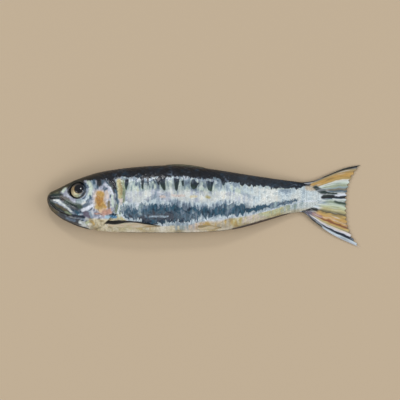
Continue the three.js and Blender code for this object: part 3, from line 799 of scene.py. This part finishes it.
def fold(across_steps, along_steps):
    """The grid of a thin plate, both faces in one round: along, across from 0 to 1 and back, and face."""
    turn = np.arange(2 * across_steps) / across_steps
    along, turn = np.meshgrid(np.linspace(0, 1, along_steps + 1), turn, indexing="ij")
    return along, np.where(turn <= 1, turn, 2 - turn), np.where(turn < 1, 1.0, -1.0)


def on_rays(count, across):
    """1 on each ray of a fin and 0 in the middle of the web between two."""
    return np.abs(np.cos(np.pi * count * across))


def blade(ray, across, along, rim, ends):
    """Thickness of a fin, 0 to 1: nothing at its edges, a thin web between the rays and full height on them.
    It grows with the square root of `rim` times the way in, which counts `ends` fold from root and tip."""
    way_in = np.minimum.reduce([across, 1 - across, ends * along, ends * (1 - along)])
    return np.sqrt(np.clip(rim * way_in, 0, 1)) * (0.7 + 0.3 * ray**2)


along, across, face = fold(14 * TAIL_RAYS, 60)
outer = PEDUNCLE_END + (TAIL_TIPS - PEDUNCLE_END) * along
notch = TAIL_FORK * (1 - np.abs(2 * across - 1) ** 2.8)
ragged = TAIL_FRAY * (1 - np.cos(2 * np.pi * TAIL_RAYS * across))
tail_s = outer - along * (notch + ragged)
tail_y = upper_edge(outer) - TAIL_HEM + across * (lower_edge(outer) - upper_edge(outer) + 2 * TAIL_HEM)
tail_ray = on_rays(TAIL_RAYS, across)
tail_half = TAIL_THICK / 2 * blade(tail_ray, across, along, 12, 1) * (1 - 0.45 * along)
tail = np.stack([tail_s, tail_y, middle(tail_s) + face * tail_half], axis=-1)

# The colours of the rays, from the upper edge of the fin (0) to its lower edge (1).
TAIL_TONES = {
    0: INK, 0.028: SOOT, 0.048: TAN, 0.085: AMBER, 0.13: AMBER, 0.165: OCHRE, 0.185: PEARL,
    0.215: MINT, 0.25: FERN, 0.27: SEA_GREY, 0.29: TAUPE, 0.32: SLATE, 0.35: PEARL, 0.37: LILAC,
    0.385: COAL, 0.41: INK, 0.425: SLATE, 0.45: MINT, 0.47: SAGE, 0.495: MINT, 0.53: LICHEN,
    0.575: STRAW, 0.625: UMBER, 0.65: OCHRE, 0.69: AMBER, 0.72: PEACH, 0.735: AMBER,
    0.75: RUST, 0.768: RUST, 0.79: OCHRE, 0.815: STRAW, 0.845: SHELL, 0.868: FROST,
    0.89: INK, 0.915: NAVY, 0.935: ICE, 1: LILAC,
}
TAIL_MARKS = dict(
    **ROOT_MARKS,
    middle_shade=(INK, 1.2, (167, 1.2), (172.4, 1.4)),
    middle_glint=(FROST, 0.6, (174.6, 2.2), (182, 3)),
    middle_streak=(SILVER, 0.45, (173, -0.2), (183, -0.4)),
    middle_shade_top=(BOTTLE, 0.7, (168, 3.8), (175, 3.4)),
    middle_shade_low=(MOSS, 0.8, (174.6, -1.8), (181, -2.6)),
    lower_root_shade=(SOOT, 1.1, (156, -6.2), (163, -6.6)),
    lower_root=(MAUVE, 1.1, (157.5, -8.2), (162, -9.4)),
    lower_root_pink=(ROSE, 0.8, (161, -9), (166, -10.6)),
    lower_edge_shade=(SOOT, 0.8, (155, -7.6), (158.8, -11), (162, -13.8), (166, -16.8)),
)
tail_wander = 0.012 * cloud(tail_s, tail_y, 3, 21) + 0.006 * cloud(tail_s, 2 * tail_y, 1.2, 22)
tail_wander *= ease(np.minimum(across, 1 - across), 0.02, 0.14)
tint = ramp(across + tail_wander, TAIL_TONES)
# Where the scales end the rays start pale, and take on their colours one after the other.
ellipse = np.hypot((tail_s - PEDUNCLE_END) / (SCALY_END - PEDUNCLE_END), (tail_y - 1) / 8.6)
beyond = 10 * (ellipse - 1) + 1.8 * cloud(TAIL_RAYS * across, along, 1, 23)
root_tone = cloud(tail_s / 2, 2 * tail_y, 1.2, 24)
root_pale = ramp(root_tone, {-0.7: BLUE_GREY, -0.2: ICE, 0.3: PEARL, 0.7: FROST})
middle_rays = ease(across, 0.14, 0.24) * ease(across, 0.82, 0.72)
tint = laid(tint, ease(beyond, 4, 0.8) * middle_rays, root_pale)
tint = marked(tint, tail_s, tail_y, TAIL_MARKS)
hairs = cloud(60 * across, 5 * along, 1, 25)
tint = laid(tint, 0.35 * ease(hairs, 0.3, 0.9), FROST)
tint = laid(tint, 0.4 * ease(-hairs, 0.35, 0.9), MOSS)

# The finish of a fin: pale rays, jointed across every half millimetre or so, in a thinner, duller web.
RAY_JOINTS = 420  # in radians, 67 joints along a ray
FIN_SPECKLE, FIN_STREAK, RAY_RELIEF = 1200, 700, 0.0001
fin = Finish("wet_fin_web")
joints = fin.node("ShaderNodeMath", {"operation": "SINE"}, {0: RAY_JOINTS * fin.field("along")})
web = 1 - fin.step(fin.field("ray"), 0.25, 0.8)
speckle, streaked = fin.noise(FIN_SPECKLE, 3), fin.noise(FIN_STREAK, 2, (0.2, 1, 1))
brightness = 1.03 - 0.16 * web + 0.25 * speckle + 0.4 * streaked + 0.03 * joints
fin.set(
    Base_Color=fin.shaded(fin.colour("tint"), brightness),
    Roughness=0.4 + 0.15 * web,
    Specular_IOR_Level=0.3,
    Coat_Weight=0.35,
    Coat_Roughness=0.3,
    Normal=fin.bump(fin.field("ray") * 0.4 + 0.08 * joints + 0.3 * speckle, RAY_RELIEF),
)
tail_fin = surface("tail_fin", tail, fin, tint=tint, ray=tail_ray, along=along)
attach(tail_fin, "root")
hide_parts("fish")

# ---- Dorsal and anal fins ----
# Both are folded down, as on a landed fish: the dorsal fin in a groove on the ridge of the back, and the long
# low anal fin on the keel behind the vent. The rays slope back, and the root is in the skin.
ROOT_DEPTH = 1.6


def ridge_fin(name, start, stop, line, up, rise, thick, rays, colours):
    """A low blade on a ridge: its crest rises by a power of a sine along it, and it leans on the middle of
    the fish, with rays that slope back as they rise."""
    along, across, face = fold(10, 14 * rays)
    s = start + (stop - start) * along
    crest = rise * np.sin(np.pi * np.minimum(1, 0.03 + 0.97 * along)) ** 0.6
    y = line(s) + up * (-ROOT_DEPTH + across * (crest + ROOT_DEPTH))
    lean = along * rays - 1.6 * across
    ray = on_rays(1, lean)
    half = thick / 2 * blade(ray, across, along, 6, 4) * (1 - 0.5 * across)
    points = np.stack([s, y, middle(s) + face * half], axis=-1)
    tint = laid(np.broadcast_to(colours[0], points.shape), ease(across, 0.75, 1), colours[1])
    piece = surface(name, points, fin, tint=tint, ray=ray, along=lean / 20)
    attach(piece, "root")
    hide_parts("fish")


KHAKI, BARK, DARK_BARK = linear((100, 97, 74), (68, 50, 40), (56, 40, 32))
ridge_fin("dorsal_fin", 72, 96, back_line, 1, 0.79, 1.6, 17, (KHAKI, SOOT))
ridge_fin("anal_fin", 112, 147, belly_line, -1, 0.7, 1.2, 18, (BARK, DARK_BARK))

# ---- Pectoral and pelvic fins ----
# The paired fins lie folded back against the belly: a root of muscle, then rays side by side like a closed
# fan, the foremost the stoutest and darkest. Their edges sink into the skin.
EDGE_DEPTH = 0.9
# Root, tip, width, number of rays, how far it stands proud, and the colours of the front rays and of the web.
PAIRED = [
    ("pectoral_fin", (35, -14.6), (69, -16.4), 4.6, 9, 0.55, (SOOT, IVORY)),
    ("pelvic_fin", (91, -17), (106, -17.4), 3.0, 6, 0.4, (TAN, CREAM)),
]
RAY_TONES = {
    -1: AMBER, -0.6: OCHRE, -0.35: STRAW, -0.05: CREAM, 0.25: PEACH, 0.5: CREAM, 0.9: IVORY,
}
for name, root, tip, width, rays, proud, (dark_ray, pale_web) in PAIRED:
    for side, flank in ((1, "left"), (-1, "right")):
        along, across, face = fold(12 * rays, 70)
        run = np.array(tip) - np.array(root)
        unit = run / np.linalg.norm(run)
        wide = width * np.sin(np.pi * np.minimum(0.97, 0.16 + 0.84 * along**0.9)) ** 0.8
        shift = (0.5 - across) * wide
        s, y = root[0] + run[0] * along - unit[1] * shift, root[1] + run[1] * along + unit[0] * shift
        ray = on_rays(rays, across)
        swell = blade(ray, across, along, 12, 1)
        top = -EDGE_DEPTH + (proud + EDGE_DEPTH) * np.sqrt(swell)
        low = -EDGE_DEPTH * (1 + np.sqrt(swell))
        points = on_flank(s, y, side, np.where(face > 0, top, low))
        edge_width = 0.75 - 0.35 * ease(along, 0.15, 0.4) - 0.16 * ridge(along - 0.55, 0.16)
        leading = ease(across, edge_width, 0.7 * edge_width) * ease(along, 0.98, 0.9)
        tint = laid(np.broadcast_to(pale_web, points.shape), leading, dark_ray)
        rays_tone = cloud(5 * across, 5 * along, 1, 29) + 0.5 * cloud(12 * across, 9 * along, 1, 30)
        tint = laid(tint, 0.7 * (1 - leading), ramp(rays_tone, RAY_TONES))
        tint = laid(tint, 0.12 * (1 - ray**2) * ease(along, 0.1, 0.5), dark_ray)
        piece = surface(f"{name}_{flank}", points, fin, tint=tint, ray=ray, along=along)
        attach(piece, "root")
        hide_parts("fish")

# ---- Eyes ----
# Each is a lens-shaped ball set in its socket under a clear wet skin: a blue-black pupil, set a little behind
# and above the middle, a pale iris that is gold in front, greenish below and grey behind, and a dark rim. The
# top of the iris and a wider rim there are painted dark, as the shadow of the lid.
PUPIL_RADIUS, PUPIL_SHIFT, PUPIL_TALL = 2.95, (1.25, 0.25), 1.04
IRIS_EDGE, IRIS_SHIFT, IRIS_RELIEF = 4.25, (0.45, -0.35), 0.0001
IRIS_GOLD, IRIS_PALE, IRIS_GREEN, IRIS_GREY = linear(
    (142, 124, 96), (190, 178, 142), (168, 174, 146), (116, 128, 142)
)
PUPIL, PUPIL_WARM = linear((8, 11, 20), (52, 38, 16))
# By the angle round it, in degrees: 0 is tailward, 90 is up. The graphite at the top is painted shadow of the
# lid.
IRIS_BY_TURN = {
    -180: IRIS_GOLD, -135: IRIS_PALE, -90: IRIS_GREEN, -45: IRIS_GREY, 20: IRIS_GREY,
    60: GRAPHITE, 120: GRAPHITE, 150: IRIS_GOLD, 180: IRIS_GOLD,
}
wet_eye = Finish("wet_fish_eye")
eye_glow = wet_eye.noise(1800, 2)
# The iris is drawn in fine threads that run out from the pupil.
round_out = {0: wet_eye.field("turn") * 9, 1: wet_eye.field("out") * 0.5}
round_out = {"Vector": wet_eye.node("ShaderNodeCombineXYZ", {}, round_out), "Scale": 1.0, "Detail": 3}
threads = wet_eye.node("ShaderNodeTexNoise", {"noise_dimensions": "2D"}, round_out) - 0.5
wet_eye.set(
    Base_Color=wet_eye.shaded(wet_eye.colour("tint"), 1 + 0.5 * threads + 0.3 * eye_glow),
    Roughness=0.3 + 0.1 * eye_glow,
    Metallic=0.2 * wet_eye.field("iris"),
    Specular_IOR_Level=0.0,
    Coat_Weight=1.0,
    Coat_Roughness=0.03,
    Coat_IOR=1.48,
    Normal=wet_eye.bump(threads * wet_eye.field("iris"), IRIS_RELIEF, 0.6),
)
for side, node in ((1, "eye_left"), (-1, "eye_right")):
    seat, facing = eye_seat(side)
    ahead = np.array([1.0, 0, 0]) - facing[0] * facing
    ahead /= np.linalg.norm(ahead)
    upward = side * np.cross(facing, ahead)
    down, turn = np.meshgrid(np.linspace(0, np.pi, 81), np.linspace(0, 2 * np.pi, 145)[:-1], indexing="ij")
    out = EYE_RADIUS * np.sin(down)
    out_s, out_y = out * np.cos(turn), out * np.sin(turn)
    from_pupil = np.hypot(out_s - PUPIL_SHIFT[0], (out_y - PUPIL_SHIFT[1]) / PUPIL_TALL)
    pupil_ring = from_pupil - PUPIL_RADIUS - 0.2
    lens = 0.12 * ease(from_pupil, PUPIL_RADIUS, PUPIL_RADIUS - 0.5) - 0.08 * ridge(pupil_ring, 0.25)
    lift = EYE_BULGE * np.cos(down) + np.where(down < 1.3, lens - 0.04, 0)
    ball = seat + out_s[..., None] * ahead + out_y[..., None] * upward + lift[..., None] * facing
    tint = ramp(np.degrees(np.arctan2(out_y, out_s)), IRIS_BY_TURN)
    tint = laid(tint, 0.35 * ridge(pupil_ring, 0.35) * ease(out_s + out_y, 2.5, 0), AMBER)
    warm = ease(-out_s - out_y, 0.6, 1.8) * ease(from_pupil, PUPIL_RADIUS - 0.9, PUPIL_RADIUS)
    in_pupil = ease(from_pupil, PUPIL_RADIUS + 0.15, PUPIL_RADIUS - 0.15)
    tint = laid(tint, in_pupil, laid(PUPIL + 0 * tint, warm, PUPIL_WARM))
    # The dark rim reaches further in at the top: painted shadow of the lid.
    edge = IRIS_EDGE - 0.6 * ease(out_y, 1, 4)
    from_iris = np.hypot(out_s - IRIS_SHIFT[0], out_y - IRIS_SHIFT[1])
    rim = np.maximum(ease(from_iris, edge, edge + 0.35), (down > 1.6) * 1.0)
    tint = laid(tint, rim, INK)
    iris = ease(from_pupil, PUPIL_RADIUS, PUPIL_RADIUS + 0.2) * (1 - rim)
    name, turned = node.replace("eye", "eyeball"), np.abs(turn - np.pi)
    eyeball = surface(name, ball, wet_eye, tint=tint, iris=iris, turn=turned, out=from_pupil)
    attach(eyeball, "root")
    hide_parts(node)

# ---- Table ----
# A plain pale board of matt painted wood, a little uneven in its colour. It lies a hair's breadth under the
# fish, and isn't part of it.
TABLE_DROP, TABLE_REACH = 0.0001, 3.0
corners = TABLE_REACH * np.array([(-1, -1, 0), (1, -1, 0), (1, 1, 0), (-1, 1, 0)]) - [0, 0, TABLE_DROP]
table_mesh = bpy.data.meshes.new("table")
table_mesh.from_pydata(corners.tolist(), [], [(0, 1, 2, 3)])
table = placed("table", table_mesh)
BOARD_WARM, BOARD_COOL = linear((194, 174, 146), (191, 173, 148))
board = Finish("pale_board")
board.set(Base_Color=board.mix(0.5 + 0.02 * board.noise(6, 2), BOARD_WARM, BOARD_COOL), Roughness=0.8)
table_mesh.materials.append(board.material)

# ---- Light and camera ----
# A dim even surround, soft boxes to both sides and below the belly, and a small lamp over the back that gives
# the eye its point of light. The camera looks straight down.
SURROUND = 0.42
world = bpy.data.worlds.new("studio")
bpy.context.scene.world = world
world.use_nodes = True
surround = world.node_tree.nodes["Background"].inputs
surround["Color"].default_value = (1, 1, 1, 1)
surround["Strength"].default_value = SURROUND
# Each lamp's place, size, and its share of the light that falls on the table.
LAMPS = dict(
    soft_box_ahead=((-0.95, 0.05, 0.80), 0.75, 0.19),
    soft_box_behind=((0.95, 0.05, 0.80), 0.75, 0.20),
    soft_box_below=((0.0, -0.75, 0.95), 0.60, 0.11),
    lamp_above=((-0.12, 0.95, 1.00), 0.26, 0.11),
)
for name, (place, size, falls) in LAMPS.items():
    lamp = bpy.data.lights.new(name, "AREA")
    lamp.shape, lamp.size = "DISK", size
    far = np.linalg.norm(place)
    lamp.energy = falls * np.pi**2 * far**2 / (place[2] / far)
    holder = placed(name, lamp)
    holder.location = place
    holder.rotation_euler = (-holder.location).to_track_quat("-Z", "Y").to_euler()

# The view's width and middle are measured in the plane where the fish's outline lies.
VIEW_WIDTH, VIEW_CENTRE, CAMERA_HEIGHT, OUTLINE_HEIGHT, FILM = 0.242, (-0.002435, 0.00367), 2.0, 0.006, 36
camera = bpy.data.cameras.new("camera")
camera.sensor_width = FILM
camera.lens = FILM * (CAMERA_HEIGHT - OUTLINE_HEIGHT) / VIEW_WIDTH
looking_down = placed("camera", camera)
looking_down.location = (*VIEW_CENTRE, CAMERA_HEIGHT)
bpy.context.scene.camera = looking_down
bpy.context.scene.view_settings.view_transform = "Standard"
